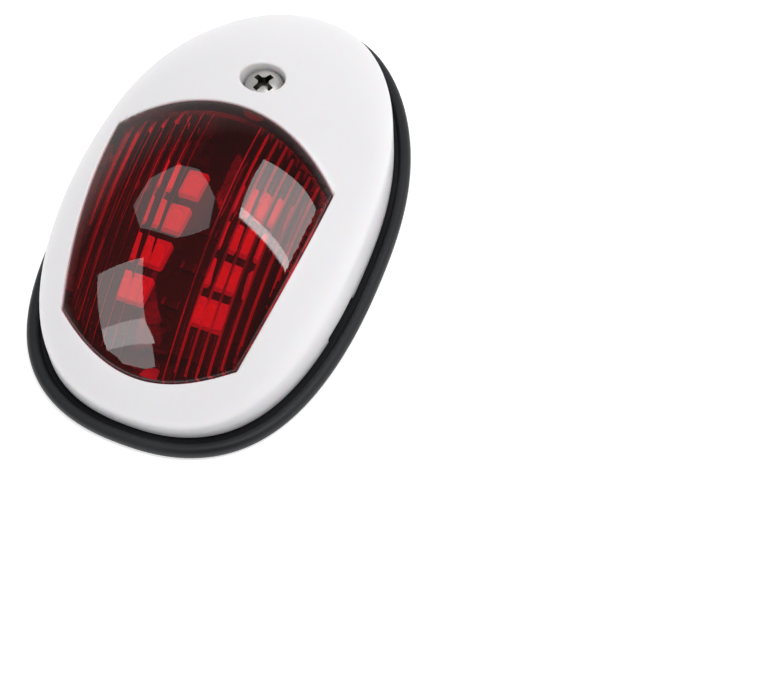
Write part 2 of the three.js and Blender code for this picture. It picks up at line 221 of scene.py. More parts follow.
class Dome:
    """The dome surface at some inset and drop, addressed in plan or in a plane where it lies unrolled."""

    STEEP = 0.55     # how much of the unrolled radius the steep shoulder takes
    WALL = 0.32      # and the wall below it

    def __init__(self, inset, drop):
        self.inset, self.drop = inset, drop
        ring = outline(COVER_INSET + inset, count=1440)
        angle = np.unwrap(np.arctan2(ring[:, 1], ring[:, 0]))
        self.angle = np.concatenate([angle - 2 * np.pi, angle, angle + 2 * np.pi])
        self.radius = np.tile(np.hypot(*ring.T), 3)
        rho = 1 - np.linspace(1, 0, 4000) ** 3
        self.rho_table, self.q_table = rho, rho + self.STEEP * (1 - dome_shape(rho))

    def edge(self, theta):
        return np.interp(theta % (2 * np.pi), self.angle, self.radius)

    def rho(self, p):
        return np.hypot(p[:, 0], p[:, 1]) / self.edge(np.arctan2(p[:, 1], p[:, 0]))

    def height(self, p, rho=None):
        rho = np.clip(self.rho(p) if rho is None else rho, 0, 1)
        v = p[:, 1] / (HALF_LENGTH - COVER_INSET - self.inset)
        fall = 1 + DOME_TILT[0] * v + DOME_TILT[1] * v ** 2 + DOME_TILT[2] * v ** 3
        return FOOT_Z + (WALL_HEIGHT + DOME_HEIGHT * dome_shape(rho)) * fall - self.drop

    def unroll(self, p):
        """Plan points to the unrolled plane."""
        rho = np.clip(self.rho(p), 1e-9, 1)
        return p * (np.interp(rho, self.rho_table, self.q_table) / rho)[:, None]

    def place(self, q, low):
        """Points of the unrolled plane to space; beyond the dome they run down the wall to low."""
        theta = np.arctan2(q[:, 1], q[:, 0])
        share = np.hypot(q[:, 0], q[:, 1]) / self.edge(theta)
        rho = np.interp(share, self.q_table, self.rho_table)
        r = rho * self.edge(theta)
        p = np.stack([r * np.cos(theta), r * np.sin(theta)], 1)
        z = self.height(p, rho)
        down = np.clip((share - 1 - self.STEEP) / self.WALL, 0, 1)
        return np.column_stack([p, z + (low - z) * down])


OUTER = Dome(0, 0)
INNER = Dome(WALL_INSET, WALL_DROP)


def window(grow, count=44):
    """Window outline in plan; the same number of points whatever it is grown by."""
    def side(y):
        return WINDOW_HALF + WINDOW_LEAN * y + WINDOW_BOW * y * y + grow

    def top(x):
        return WINDOW_TOP - WINDOW_TOP_ARC * x * x + grow

    def bottom(x):
        return -WINDOW_BOTTOM + WINDOW_BOTTOM_ARC * x * x - grow

    def corner(edge, y):
        for _ in range(40):
            y = edge(side(y))
        return side(y), y

    (xt, yt), (xb, yb) = corner(top, WINDOW_TOP), corner(bottom, -WINDOW_BOTTOM)
    t = np.arange(count) / count
    low = np.stack([-xb + 2 * xb * t, bottom(-xb + 2 * xb * t)], 1)
    y = yb + (yt - yb) * t
    right = np.stack([side(y), y], 1)
    high = np.stack([xt - 2 * xt * t, top(xt - 2 * xt * t)], 1)
    y = yt + (yb - yt) * t
    left = np.stack([-side(y), y], 1)
    return np.concatenate([low, right, high, left])


def circle(r, x=0.0, y=0.0, count=64):
    a = 2 * np.pi * np.arange(count) / count
    return np.stack([x + r * np.cos(a), y + r * np.sin(a)], 1)


def lift(p, z):
    return np.column_stack([p, np.broadcast_to(z, (len(p),))])


def fillet(d, r):
    """How far a rounded edge of radius r lies below the surface at distance d from the edge."""
    x = np.clip(r - d, 0, r)
    return r - np.sqrt(np.maximum(r * r - x * x, 0))


# ---- cover -----------------------------------------------------------------------
WINDOW_EDGE = window(0)
NOTCH_LOW, NOTCH_HIGH, NOTCH_DEEP, NOTCH_TOP = -14.8, -5.8, 1.0, 2.6


def notch(p):
    """The shallow pry notch pressed into the rim on one side."""
    out = p.copy()
    along = np.clip(np.minimum(p[:, 1] - NOTCH_LOW, NOTCH_HIGH - p[:, 1]) / 0.8, 0, 1)
    up = np.clip((NOTCH_TOP - p[:, 2]) / 0.25, 0, 1)
    out[:, 0] -= np.where(p[:, 0] > 0, NOTCH_DEEP * along * up, 0)
    return out


def build_cover():
    m = Mesh()
    count = 520
    ring = outline(COVER_INSET, count=count)
    rim = ring * (1 + OUTER.STEEP + OUTER.WALL)
    hole = circle(RECESS_R, 0, SCREW_Y)
    # points that follow the rounded edges and the wall rows near the rim
    extra = []
    for d in (0.05, 0.12, 0.22, 0.34, WINDOW_FILLET):
        extra.append(OUTER.unroll(window(d)))
    for d in (0.05, 0.12, 0.22, 0.36, RECESS_FILLET):
        extra.append(OUTER.unroll(circle(RECESS_R + d, 0, SCREW_Y)))
    for share in (0.985, 0.955, 0.9, 0.86, 0.82, 0.8, 0.74):
        extra.append(ring * (1 + OUTER.STEEP + OUTER.WALL * share))
    fine = outline(COVER_INSET, count=1560)
    near = fine[(fine[:, 0] > 0) & (fine[:, 1] > NOTCH_LOW - 1) & (fine[:, 1] < NOTCH_HIGH + 1)]
    for share in (0.79, 0.805, 0.82, 0.835, 0.85, 0.88, 0.925, 0.97, 0.99):
        extra.append(near * (1 + OUTER.STEEP + OUTER.WALL * share))
    q, tris = triangulate(rim, [OUTER.unroll(WINDOW_EDGE), OUTER.unroll(hole)],
                          np.concatenate(extra), 0.9)
    p = OUTER.place(q, RIM_Z)
    d_window = distance(p[:, :2], WINDOW_EDGE)
    d_hole = np.abs(np.hypot(p[:, 0], p[:, 1] - SCREW_Y) - RECESS_R)
    p[:, 2] -= fillet(d_window, WINDOW_FILLET) * (OUTER.rho(p[:, :2]) < 0.995)
    p[:, 2] -= fillet(d_hole, RECESS_FILLET)
    low = p[:, 2] < RIM_Z + 0.3
    shrink = fillet(np.clip(p[:, 2] - RIM_Z, 0, 1), 0.3) * low
    p[:, :2] *= (1 - shrink / np.hypot(p[:, 0], p[:, 1]))[:, None]
    window_top = lift(WINDOW_EDGE, OUTER.height(WINDOW_EDGE) - WINDOW_FILLET)
    recess_top = lift(hole, OUTER.height(hole) - RECESS_FILLET)
    rim_foot = lift(ring * (1 - 0.3 / np.hypot(*ring.T))[:, None], RIM_Z)
    m.patch(notch(snap(p, window_top, recess_top, rim_foot)), tris)
    # inside face, with the boss
    inner_ring = outline(COVER_INSET + WALL_INSET, count=count)
    inner_rim = inner_ring * (1 + INNER.STEEP + INNER.WALL)
    boss = circle(BOSS_R, 0, SCREW_Y)
    q, tris = triangulate(inner_rim, [INNER.unroll(WINDOW_EDGE), INNER.unroll(boss)], [], 1.8)
    window_foot, boss_top = lift(WINDOW_EDGE, INNER.height(WINDOW_EDGE)), lift(boss, INNER.height(boss))
    rim_inside = lift(inner_ring, RIM_Z)
    m.patch(snap(INNER.place(q, RIM_Z), window_foot, boss_top, rim_inside), tris[:, ::-1])
    # rim underside and window wall
    m.loft([notch(rim_foot), rim_inside])
    m.loft([window_top, (window_top + window_foot) / 2, window_foot])
    # recess, its floor, the screw hole and the boss
    m.loft([recess_top, lift(hole, RECESS_FLOOR + 0.25),
            lift(circle(RECESS_R - 0.25, 0, SCREW_Y), RECESS_FLOOR),
            lift(circle(BOSS_HOLE_R, 0, SCREW_Y), RECESS_FLOOR),
            lift(circle(BOSS_HOLE_R, 0, SCREW_Y), BOSS_Z),
            lift(circle(BOSS_R - 0.3, 0, SCREW_Y), BOSS_Z),
            lift(boss, BOSS_Z + 0.3), boss_top])
    return m.build("cover_moulding", 40)


cover = build_cover()
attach(cover, "cover")
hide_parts("cover_shell")


# ---- lens ------------------------------------------------------------------------
def flute(x):
    s = (np.abs(x) - FLUTE_START) / FLUTE_PITCH
    wave = np.sin(np.pi * (s - np.floor(s)))
    return np.where((s > 0) & (s < FLUTES), FLUTE_DEPTH * wave, 0)


def build_lens():
    m = Mesh()
    edge = window(-LENS_GAP)
    round_edge = 0.35
    extra = np.concatenate([window(-LENS_GAP - d) for d in (0.06, 0.14, 0.24, 0.36)])
    p, tris = triangulate(edge, [], extra, 0.75)
    z = OUTER.height(p) - fillet(distance(p, edge), round_edge)
    edge_top = lift(edge, OUTER.height(edge) - round_edge)
    m.patch(snap(lift(p, z), edge_top), tris)
    seat, under = Dome(WALL_INSET + 0.3, WALL_DROP + 0.3), Dome(3.2, 3.7)
    inner = window(-1.6)
    back = Dome(2.2, LENS_THICK)
    brim = window(FLANGE)
    inner_top = lift(inner, back.height(inner))
    m.loft([edge_top, lift(edge, seat.height(edge)),
            lift(brim, seat.height(brim)), lift(brim, np.maximum(under.height(brim), 6.4)),
            lift(inner, under.height(inner)), inner_top])
    # ribbed inside face: points on lines that follow the ribs
    steps = (0, CREST_LEFT, CREST_RIGHT, 0.2, 0.3, 0.4, 0.5, 0.6, 0.7, 0.8,
             1 - CREST_RIGHT, 1 - CREST_LEFT)
    xs = [FLUTE_START + FLUTE_PITCH * (i + t) for i in range(FLUTES) for t in steps]
    xs.append(FLUTE_START + FLUTE_PITCH * FLUTES)
    xs = np.array([-x for x in xs[::-1]] + [-1.9, 0, 1.9] + xs)
    ys = np.arange(-34, 9, 1.3)
    grid = np.stack(np.meshgrid(xs, ys), -1).reshape(-1, 2)
    keep = inside(grid, inner) & (distance(grid, inner) > 0.25)
    q, tris = triangulate(inner, [], grid[keep], 400)
    fade = np.clip(distance(q, inner) / 0.5, 0, 1)
    m.patch(snap(lift(q, back.height(q) - flute(q[:, 0]) * fade), inner_top), tris[:, ::-1])
    made = m.build("lens_moulding", 30)
    # the sharp lines between the ribs catch light, so their faces get a material of their own: a painted highlight
    # of brighter red
    for face in made.data.polygons:
        c = np.array([face.center * 1000])
        corners = np.array([made.data.vertices[k].co * 1000 for k in face.vertices])
        s = (np.abs(corners[:, 0]) - FLUTE_START) / FLUTE_PITCH
        crest = CREST_RIGHT if c[0, 0] > 0 else CREST_LEFT
        on_line = np.all(np.abs(s - np.round(s)) < crest + 0.01) and -0.5 < s.mean() < FLUTES + 0.5
        if on_line and c[0, 2] < OUTER.height(c[:, :2])[0] - 1.8 and inside(c[:, :2], inner)[0]:
            face.material_index = 1
    return made


lens = build_lens()
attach(lens, "cover")
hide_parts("lens")
lens.visible_shadow = False      # lets more light reach the board than a real lens would


# ---- gasket ------------------------------------------------------------------------
def build_gasket():
    m = Mesh()
    count = 220
    profile = [(0.55, 0.0), (0.25, 0.06), (0.07, 0.3), (0.0, 0.7), (0.02, 1.1), (0.14, 1.5), (0.42, 1.85),
               (0.75, 2.02), (1.1, 2.07), (1.45, 2.0), (1.75, 1.78), (1.95, 1.45), (2.05, 1.15), (2.2, 1.0)]
    m.loft([lift(outline(inset, count=count), z) for inset, z in profile])
    holes = [circle(MOUNT_HOLE_R, 0, y, 40) for y in MOUNT_HOLES]
    holes.append(circle(GROMMET_HOLE_R, GROMMET_X, GROMMET_Y, 48))
    for inset, z, flip in ((profile[-1][0], 1.0, False), (profile[0][0], 0.0, True)):
        q, tris = triangulate(outline(inset, count=count), holes, [], 4.0)
        m.patch(lift(q, z), tris[:, ::-1] if flip else tris)
    for h in holes:
        m.loft([lift(h, 0.0), lift(h, 1.0)])
    return m.build("gasket_moulding", 50)


gasket = build_gasket()
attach(gasket, "base")
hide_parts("gasket")


# ---- cover screw ---------------------------------------------------------------------
def turned_rings(profile, x, y, count):
    return [lift(circle(r, x, y, count), z) for r, z in profile]


def build_screw():
    m = Mesh()
    count, core, crest = 48, 1.42, 1.75
    rows_per_turn = 10
    z0, z1 = SCREW_TIP + 0.6, HEAD_Z - 1.3
    rows = int((z1 - z0) / THREAD_PITCH * rows_per_turn)
    a = 2 * np.pi * np.arange(count) / count
    rings = [turned_rings([(0.55, SCREW_TIP)], 0, SCREW_Y, count)[0],
             turned_rings([(1.15, SCREW_TIP + 0.35)], 0, SCREW_Y, count)[0]]
    for k in range(rows + 1):
        z = z0 + (z1 - z0) * k / rows
        phase = ((z - z0) / THREAD_PITCH - a / (2 * np.pi)) % 1.0
        ridge = np.clip(1 - np.abs(phase - 0.5) / 0.32, 0, 1)
        ends = min(1.0, (z - z0) / 1.0, (z1 - z) / 0.8)
        r = core + (crest - core) * ridge * max(ends, 0)
        rings.append(np.column_stack([r * np.cos(a), SCREW_Y + r * np.sin(a), np.full(count, z)]))
    rings += turned_rings([(1.6, HEAD_Z - 1.1), (1.6, HEAD_Z - 0.05), (1.68, HEAD_Z), (3.08, HEAD_Z),
                           (HEAD_R, HEAD_Z + 0.12), (HEAD_R, HEAD_Z + 0.5), (3.12, HEAD_Z + 0.78),
                           (2.92, HEAD_Z + 1.08), (2.6, HEAD_Z + 1.34), (2.15, HEAD_Z + 1.57),
                           (1.6, HEAD_Z + 1.74), (1.0, HEAD_Z + 1.84), (0.5, HEAD_Z + 1.88)],
                          0, SCREW_Y, count)
    m.cap([tuple(p) for p in rings[0]])
    m.loft(rings)
    m.cap([tuple(p) for p in rings[-1]])
    body = m.build("cover_screw_body", 32)
    # cross recess: four wings that narrow downwards round a tapered core
    cut = bmesh.new()
    top, floor = HEAD_Z + 2.6, HEAD_Z + 0.3
    for turn in (64, 154):
        spin = Matrix.Rotation(math.radians(turn), 4, "Z")
        corners = []
        for z, length, width in ((floor, 1.1, 0.3), (top, 2.4, 0.55)):
            for sx, sy in ((-1, -1), (1, -1), (1, 1), (-1, 1)):
                v = spin @ Vector((sx * length, sy * width, 0))
                corners.append(cut.verts.new((v.x, v.y + SCREW_Y, z)))
        b, t = corners[:4], corners[4:]
        cut.faces.new(b[::-1])
        cut.faces.new(t)
        for i in range(4):
            cut.faces.new((b[i], b[(i + 1) % 4], t[(i + 1) % 4], t[i]))
    core_made = bmesh.ops.create_cone(cut, cap_ends=True, segments=20, radius1=0.62, radius2=1.05,
                                      depth=top - floor + 0.25)
    bmesh.ops.translate(cut, verts=core_made["verts"], vec=(0, SCREW_Y, (top + floor - 0.25) / 2))
    mesh = bpy.data.meshes.new("recess_cutter")
    cut.to_mesh(mesh)
    cut.free()
    mesh.transform(Matrix.Scale(0.001, 4))
    cutter = bpy.data.objects.new("recess_cutter", mesh)
    bpy.context.scene.collection.objects.link(cutter)
    bool_mod = body.modifiers.new("recess", "BOOLEAN")
    bool_mod.operation, bool_mod.solver, bool_mod.use_self = "DIFFERENCE", "EXACT", True
    bool_mod.object = cutter
    dg = bpy.context.evaluated_depsgraph_get()
    done = bpy.data.meshes.new_from_object(body.evaluated_get(dg))
    body.modifiers.clear()
    body.data = done
    body.data.shade_smooth()
    body.data.set_sharp_from_angle(angle=math.radians(32))
    bpy.data.objects.remove(cutter)
    body.name = "cover_screw_turned"
    # faces of the cross recess, which get a darker steel as painted shade: inside the head and facing inwards or
    # upwards below its surface
    for face in body.data.polygons:
        x, y, z = face.center * 1000
        x, y, z = x, y - SCREW_Y, z - HEAD_Z
        r = math.hypot(x, y)
        dome = 1.88 - 0.16 * r * r
        if z > 0.15 and r < 2.2 and z < dome - 0.12:
            face.material_index = 1
    return body


screw = build_screw()
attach(screw, "screw")
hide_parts("cover_screw")


# ---- LEDs and small board parts ---------------------------------------------------------
def box_into(bm, size, centre, bevel=0.0):
    made = bmesh.ops.create_cube(bm, size=1.0)["verts"]
    bmesh.ops.scale(bm, verts=made, vec=size)
    bmesh.ops.translate(bm, verts=made, vec=centre)
    if bevel:
        edges = {e for v in made for e in v.link_edges}
        bmesh.ops.bevel(bm, geom=list(edges), offset=bevel, segments=2, affect="EDGES", profile=0.5)


def finish_bmesh(bm, name, angle=35.0):
    mesh = bpy.data.meshes.new(name)
    bm.normal_update()
    bm.to_mesh(mesh)
    bm.free()
    mesh.transform(Matrix.Scale(0.001, 4))
    mesh.shade_smooth()
    mesh.set_sharp_from_angle(angle=math.radians(angle))
    obj = bpy.data.objects.new(name, mesh)
    bpy.context.scene.collection.objects.link(obj)
    return obj


def build_led(name, x, y):
    """Square package: bevelled body with a round dish, gel in the dish, six leads. Three objects, for three
    materials.
    """
    m = Mesh()
    h, n = LED_SIZE / 2, 48
    a = 2 * np.pi * (np.arange(n) + 0.5) / n

    def square(half, z, cut=0.25):
        s = np.maximum(np.abs(np.cos(a)), np.abs(np.sin(a)))
        r = half / np.maximum(s, (np.abs(np.cos(a)) + np.abs(np.sin(a))) / (2 - cut / half))
        return np.column_stack([x + r * np.cos(a), y + r * np.sin(a), np.full(n, z)])

    def ring(r, z):
        return np.column_stack([x + r * np.cos(a), y + r * np.sin(a), np.full(n, z)])

    top = CHIP_Z + LED_TALL
    m.cap([tuple(p) for p in square(h - 0.1, CHIP_Z + 0.05)])
    m.loft([square(h - 0.1, CHIP_Z + 0.05), square(h, CHIP_Z + 0.4), square(h, CHIP_Z + 0.75),
            square(h - 0.06, CHIP_Z + 0.8), square(h - 0.08, top - 0.1), square(h - 0.18, top),
            ring(2.05, top), ring(1.98, top - 0.06), ring(1.72, top - 0.42)])
    m.cap([tuple(p) for p in ring(1.72, top - 0.42)])
    body = m.build(name, 30)
    gel = Mesh()
    gel.loft([ring(1.76, top - 0.36), ring(1.4, top - 0.33), ring(0.8, top - 0.31), ring(0.3, top - 0.305)])
    gel.cap([tuple(p) for p in ring(0.3, top - 0.305)])
    gel.loft([ring(1.76, top - 0.36), ring(1.72, top - 0.41)])
    gel.cap([tuple(p) for p in ring(1.72, top - 0.41)])
    gel = gel.build(name + "_gel", 40)
    bm = bmesh.new()
    for side in (-1, 1):
        for k in (-1, 0, 1):
            box_into(bm, (0.36, 0.8, 0.16), (x + side * (h - 0.02), y + 1.6 * k, CHIP_Z + 0.1), 0.03)
            box_into(bm, (0.1, 0.8, 0.4), (x + side * (h + 0.05), y + 1.6 * k, CHIP_Z + 0.24), 0.02)
    leads = finish_bmesh(bm, name + "_leads")
    return body, gel, leads


leds = []
for side in (-1, 1):
    for row in range(LED_ROWS):
        k = len(leds) + 1
        body, gel, leads = build_led(f"led_package_{k}", side * LED_X, LED_ROW - row * LED_PITCH)
        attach(body, "base")
        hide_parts(f"led_{k}")
        for extra in (gel, leads):
            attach(extra, "base")
        leds.append((body, gel, leads))

resistors = []
for row in range(LED_ROWS):
    y = LED_ROW - row * LED_PITCH
    bm = bmesh.new()
    box_into(bm, (2.3, 1.5, 0.5), (0, y, CHIP_Z + 0.3), 0.05)
    chip = finish_bmesh(bm, f"resistor_chip_{row + 1}")
    bm = bmesh.new()
    for side in (-1, 1):
        box_into(bm, (0.48, 1.54, 0.55), (side * 1.38, y, CHIP_Z + 0.28), 0.06)
    ends = finish_bmesh(bm, f"resistor_ends_{row + 1}")
    for piece, slot in ((chip, "black_component"), (ends, "stainless")):
        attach(piece, "base")
    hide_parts(f"resistor_{row + 1}")
    resistors.append((chip, ends))


# ---- materials ------------------------------------------------------------------------
class Nodes:
    """A Principled material with helpers for noise-driven colour, roughness and bump."""

    def __init__(self, name, **values):
        self.mat = bpy.data.materials.new(name)
        self.mat.use_nodes = True
        self.tree = self.mat.node_tree
        self.bsdf = self.tree.nodes["Principled BSDF"]
        for key, value in values.items():
            self.bsdf.inputs[key.replace("_", " ")].default_value = value
        self.coord = self.tree.nodes.new("ShaderNodeTexCoord").outputs["Object"]
        self.height = None

    def node(self, kind, **settings):
        n = self.tree.nodes.new(kind)
        for key, value in settings.items():
            if hasattr(n, key):
                setattr(n, key, value)
            else:
                n.inputs[key.replace("_", " ")].default_value = value
        return n

    def link(self, a, b):
        self.tree.links.new(a, b)

    def noise(self, scale, detail=3.0, roughness=0.5, stretch=None):
        n = self.node("ShaderNodeTexNoise", Scale=scale, Detail=detail, Roughness=roughness)
        if stretch:
            m = self.node("ShaderNodeMapping")
            m.inputs["Scale"].default_value = stretch
            self.link(self.coord, m.inputs["Vector"])
            self.link(m.outputs["Vector"], n.inputs["Vector"])
        else:
            self.link(self.coord, n.inputs["Vector"])
        return n.outputs["Fac"]

    def spread(self, value, low, high, frm=0.3, to=0.7):
        r = self.node("ShaderNodeMapRange")
        for key, v in (("From Min", frm), ("From Max", to), ("To Min", low), ("To Max", high)):
            r.inputs[key].default_value = v
        self.link(value, r.inputs["Value"])
        return r.outputs["Result"]

    def mix(self, fac, a, b):
        m = self.node("ShaderNodeMix", data_type="RGBA")
        for socket, value in ((6, a), (7, b)):
            if isinstance(value, tuple):
                m.inputs[socket].default_value = value
            else:
                self.link(value, m.inputs[socket])
        self.link(fac, m.inputs[0])
        return m.outputs[2]

    def edges(self, low=0.52, high=0.6):
        """Bright where the mesh has an outward edge."""
        g = self.node("ShaderNodeNewGeometry")
        return self.spread(g.outputs["Pointiness"], 0.0, 1.0, low, high)

    def bump(self, value, strength, distance=0.0002):
        b = self.node("ShaderNodeBump", Strength=strength, Distance=distance)
        self.link(value, b.inputs["Height"])
        if self.height is not None:
            self.link(self.height, b.inputs["Normal"])
        self.height = b.outputs["Normal"]
        self.link(self.height, self.bsdf.inputs["Normal"])

    def colour(self, socket):
        self.link(socket, self.bsdf.inputs["Base Color"])

    def rough(self, socket):
        self.link(socket, self.bsdf.inputs["Roughness"])

    def on(self, *objects, second=None):
        """Give objects this material; faces marked 1 get the second one."""
        for obj in objects:
            marks = [face.material_index for face in obj.data.polygons]
            obj.data.materials.clear()
            obj.data.materials.append(self.mat)
            if second:
                obj.data.materials.append(second.mat)
                obj.data.polygons.foreach_set("material_index", [min(k, 1) for k in marks])


def white_cover():
    n = Nodes("glossy_white_abs", IOR=1.5, Subsurface_Weight=0.25, Subsurface_Scale=0.0015)
    cloud = n.noise(28.0, 2.0)
    fine = n.noise(900.0, 2.0)
    base = n.mix(n.spread(cloud, 0.0, 1.0), (0.80, 0.79, 0.81, 1), (0.83, 0.82, 0.838, 1))
    # painted highlight: the colour is lighter on outward edges, standing in for light the edges catch
    edge_highlight = n.mix(n.edges(0.53, 0.62), base, (0.86, 0.855, 0.868, 1))
    n.colour(edge_highlight)
    n.rough(n.spread(n.noise(60.0, 4.0), 0.3, 0.38))
    n.bump(cloud, 0.01, 0.0004)
    n.bump(fine, 0.03, 0.00005)
    return n


def red_lens():
    n = Nodes("red_polycarbonate", IOR=1.55, Transmission_Weight=0.986)
    n.bsdf.inputs["Base Color"].default_value = (0.47, 0.004, 0.012, 1)
    n.rough(n.spread(n.noise(40.0, 3.0), 0.0, 0.025))
    n.bump(n.noise(70.0, 2.0), 0.02, 0.0004)
    return n


def rib_highlight_lines():
    """Painted highlight: red that varies by noise and brightens towards the top, standing in for the light that the
    ribs catch.
    """
    n = Nodes("red_polycarbonate_rib_lines", IOR=1.55, Transmission_Weight=0.45)
    fade = n.noise(75.0, 2.0, 0.5, (1.6, 0.6, 1))
    axes = n.node("ShaderNodeSeparateXYZ")
    n.link(n.coord, axes.inputs[0])
    height = n.spread(axes.outputs["Y"], 0.0, 0.16, -0.016, 0.001)
    both = n.node("ShaderNodeMath", operation="ADD")
    n.link(fade, both.inputs[0])
    n.link(height, both.inputs[1])
    lit = n.spread(both.outputs[0], 0.0, 1.0, 0.4, 0.64)
    n.colour(n.mix(lit, (0.14, 0.002, 0.006, 1), (0.85, 0.012, 0.03, 1)))
    n.rough(n.spread(n.noise(300.0, 2.0), 0.25, 0.4))
    n.bump(n.noise(500.0, 2.0), 0.1, 0.00005)
    return n


def black_rubber():
    n = Nodes("black_rubber", IOR=1.5, Specular_IOR_Level=0.35)
    fine = n.noise(700.0, 4.0, 0.6)
    patch = n.noise(45.0, 3.0)
    n.colour(n.mix(n.spread(patch, 0.0, 1.0), (0.008, 0.009, 0.011, 1), (0.018, 0.019, 0.022, 1)))
    n.rough(n.spread(patch, 0.42, 0.62))
    n.bump(fine, 0.15, 0.00008)
    n.bump(patch, 0.1, 0.0003)
    return n


def steel():
    n = Nodes("stainless_steel", Metallic=0.85)
    grain = n.noise(260.0, 4.0, 0.6)
    n.colour(n.mix(n.spread(grain, 0.0, 1.0), (0.46, 0.455, 0.43, 1), (0.6, 0.595, 0.57, 1)))
    n.rough(n.spread(n.noise(500.0, 3.0), 0.36, 0.5))
    n.bump(grain, 0.12, 0.00005)
    return n


def recess_shade_steel():
    # painted shade: a much darker steel for the inside of the cross recess, where shade falls
    n = Nodes("stainless_steel_recess_shade", Metallic=1.0)
    grain = n.noise(300.0, 4.0, 0.6)
    n.colour(n.mix(n.spread(grain, 0.0, 1.0), (0.09, 0.085, 0.068, 1), (0.2, 0.19, 0.16, 1)))
    n.rough(n.spread(grain, 0.3, 0.5))
    n.bump(grain, 0.12, 0.00005)
    return n


def shade_and_glint():
    # painted shade and glints: the board screws' steel is made nearly black, standing in for shade inside the
    # housing, and lighter on outward edges as painted glints
    n = Nodes("black_oxide_steel", Metallic=1.0)
    grain = n.noise(300.0, 4.0, 0.6)
    n.colour(n.mix(n.edges(0.52, 0.6), (0.02, 0.019, 0.018, 1), (0.12, 0.115, 0.11, 1)))
    n.rough(n.spread(grain, 0.28, 0.45))
    n.bump(grain, 0.12, 0.00005)
    return n


def brass():
    n = Nodes("turned_brass", Metallic=1.0)
    rings = n.noise(80.0, 3.0, 0.5, (1, 1, 40))
    n.colour(n.mix(n.spread(rings, 0.0, 1.0), (0.55, 0.36, 0.12, 1), (0.72, 0.52, 0.22, 1)))
    n.rough(n.spread(rings, 0.25, 0.4))
    n.bump(rings, 0.15, 0.00005)
    return n


def black_base():
    """Black is a guess, chosen to keep the lens dark; it is partly painted shade, standing in for the shade inside
    the housing.
    """
    n = Nodes("matt_black_abs", IOR=1.5)
    fine = n.noise(420.0, 4.0, 0.55)
    cloud = n.noise(25.0, 2.0)
    n.colour(n.mix(n.spread(cloud, 0.0, 1.0), (0.014, 0.014, 0.016, 1), (0.026, 0.026, 0.028, 1)))
    n.rough(n.spread(cloud, 0.42, 0.55))
    n.bump(fine, 0.2, 0.00008)
    return n


def board_mask():
    # partly painted shade: the dark green mask is made darker still, standing in for the shade inside the housing
    n = Nodes("dark_solder_mask", IOR=1.5, Coat_Weight=0.3, Coat_Roughness=0.15)
    tracks = n.node("ShaderNodeTexBrick", offset=0.5, Scale=160.0)
    tracks.inputs["Mortar Size"].default_value = 0.03
    n.link(n.coord, tracks.inputs["Vector"])
    tracks.inputs["Color1"].default_value = (0.006, 0.012, 0.009, 1)
    tracks.inputs["Color2"].default_value = (0.009, 0.018, 0.013, 1)
    tracks.inputs["Mortar"].default_value = (0.014, 0.028, 0.02, 1)
    n.colour(tracks.outputs["Color"])
    n.rough(n.spread(n.noise(120.0, 3.0), 0.3, 0.45))
    n.bump(tracks.outputs["Fac"], 0.15, 0.00006)
    return n


def led_plastic():
    """The glow here and in the gel stands in for outside light; the LEDs are off."""
    n = Nodes("led_package_white", IOR=1.5, Emission_Strength=0.38)
    n.bsdf.inputs["Emission Color"].default_value = (1.0, 0.93, 0.85, 1)
    fine = n.noise(900.0, 2.0)
    n.colour(n.mix(n.spread(n.noise(200.0), 0.0, 1.0), (0.78, 0.76, 0.72, 1), (0.84, 0.82, 0.78, 1)))
    n.rough(n.spread(fine, 0.4, 0.5))
    n.bump(fine, 0.1, 0.00004)
    return n


def led_gel():
    n = Nodes("led_gel", IOR=1.41, Coat_Weight=0.5, Coat_Roughness=0.05, Emission_Strength=0.5)
    n.bsdf.inputs["Emission Color"].default_value = (1.0, 0.86, 0.7, 1)
    dies = n.node("ShaderNodeTexVoronoi", Scale=900.0)
    n.link(n.coord, dies.inputs["Vector"])
    n.colour(n.mix(n.spread(dies.outputs["Distance"], 0.0, 1.0, 0.1, 0.6), (0.72, 0.52, 0.2, 1),
                   (0.8, 0.66, 0.36, 1)))
    n.rough(n.spread(n.noise(300.0), 0.12, 0.2))
    n.bump(n.noise(150.0), 0.1, 0.0001)
    return n


def shaded_tin():
    # painted shade: tin much darker than bare tin, standing in for shade inside the housing
    n = Nodes("shaded_tin", Metallic=1.0)
    grain = n.noise(400.0, 3.0)
    n.colour(n.mix(n.spread(grain, 0.0, 1.0), (0.16, 0.16, 0.155, 1), (0.26, 0.26, 0.25, 1)))
    n.rough(n.spread(grain, 0.35, 0.55))
    n.bump(grain, 0.15, 0.00004)
    return n


def black_plastic():
    n = Nodes("black_component_plastic", IOR=1.5)
    fine = n.noise(900.0, 3.0)
    n.colour(n.mix(n.spread(n.noise(150.0), 0.0, 1.0), (0.012, 0.012, 0.013, 1), (0.024, 0.024, 0.025, 1)))
    n.rough(n.spread(fine, 0.38, 0.5))
    n.bump(fine, 0.15, 0.00004)
    return n


white_cover().on(cover)
red_lens().on(lens, second=rib_highlight_lines())
rubber = black_rubber()
rubber.on(gasket, NODES["cover_seal"], NODES["screw_seal"], NODES["cable_grommet"])
steel().on(screw, second=recess_shade_steel())
shade_and_glint().on(NODES["board_screw_1"], NODES["board_screw_2"])
brass().on(NODES["boss_insert"])
black_base().on(NODES["base_plate"])
board_mask().on(NODES["circuit_board"])
package, gel_mat, component, tin = led_plastic(), led_gel(), black_plastic(), shaded_tin()
for body, gel, leads in leds:
    package.on(body)
    gel_mat.on(gel)
    tin.on(leads)
for chip, ends in resistors:
    component.on(chip)
    tin.on(ends)
component.on(NODES["protection_diode"], NODES["supply_terminal"])

